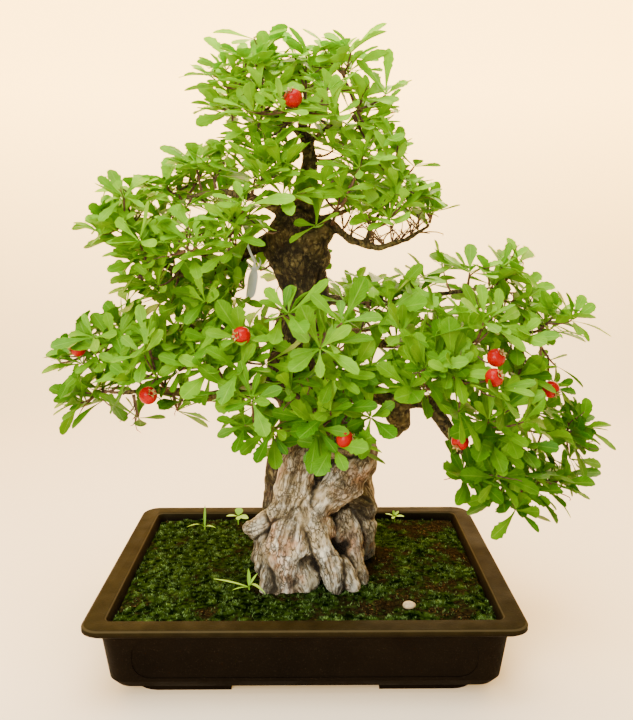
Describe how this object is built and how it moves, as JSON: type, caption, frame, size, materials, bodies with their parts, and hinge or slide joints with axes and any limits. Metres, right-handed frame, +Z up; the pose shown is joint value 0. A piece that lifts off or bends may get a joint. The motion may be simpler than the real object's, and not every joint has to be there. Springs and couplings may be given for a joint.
{
  "type": "hawthorn bonsai in tray pot",
  "caption": "Old fruiting bonsai with a gnarled trunk, leafy tiers and red haws, planted in a rectangular clay tray with moss.",
  "frame": {"origin": "middle of the bounding box of tree and tray in plan, at the level the tray's feet stand on", "axes": "+Z up, +X along the tray's long side to the viewer's right, +Y from the viewed front to the back"},
  "size_m": [0.663, 0.3476, 0.6948],
  "materials": {
    "clay": "satin",
    "screen": "matte",
    "moss_soil": "matte",
    "bark": "matte",
    "foliage": "satin",
    "haw": "gloss",
    "weed": "satin",
    "tag_plastic": "satin",
    "pebble_stone": "matte"
  },
  "bodies": {
    "root": {"tray": "clay", "drainage_screen_left": "screen", "drainage_screen_right": "screen", "soil": "moss_soil", "wood": "bark", "spray_apex_1": "foliage", "spray_apex_2": "foliage", "spray_apex_3": "foliage", "spray_apex_4": "foliage", "spray_apex_5": "foliage", "spray_apex_6": "foliage", "spray_left_high_1": "foliage", "spray_left_high_2": "foliage", "spray_left_high_3": "foliage", "spray_left_high_4": "foliage", "spray_left_high_5": "foliage", "spray_left_high_6": "foliage", "spray_right_high_1": "foliage", "spray_right_high_2": "foliage", "spray_right_high_3": "foliage", "spray_right_high_4": "foliage", "spray_left_low_1": "foliage", "spray_left_low_2": "foliage", "spray_left_low_3": "foliage", "spray_left_low_4": "foliage", "spray_left_low_5": "foliage", "spray_left_low_6": "foliage", "spray_left_low_7": "foliage", "spray_front_1": "foliage", "spray_front_2": "foliage", "spray_front_3": "foliage", "spray_front_4": "foliage", "spray_front_5": "foliage", "spray_right_1": "foliage", "spray_right_2": "foliage", "spray_right_3": "foliage", "spray_right_4": "foliage", "spray_right_5": "foliage", "spray_right_6": "foliage", "spray_right_7": "foliage", "spray_right_8": "foliage", "spray_right_9": "foliage", "spray_right_10": "foliage", "spray_back_1": "foliage", "spray_back_2": "foliage", "haw_1": "haw", "haw_2": "haw", "haw_3": "haw", "haw_4": "haw", "haw_5": "haw", "haw_6": "haw", "haw_7": "haw", "haw_8": "haw", "haw_9": "haw", "tag": "tag_plastic", "grass_front": "weed", "grass_back": "weed", "seedling_left": "weed", "seedling_right": "weed", "pebble": "pebble_stone"}
  },
  "joints": []
}
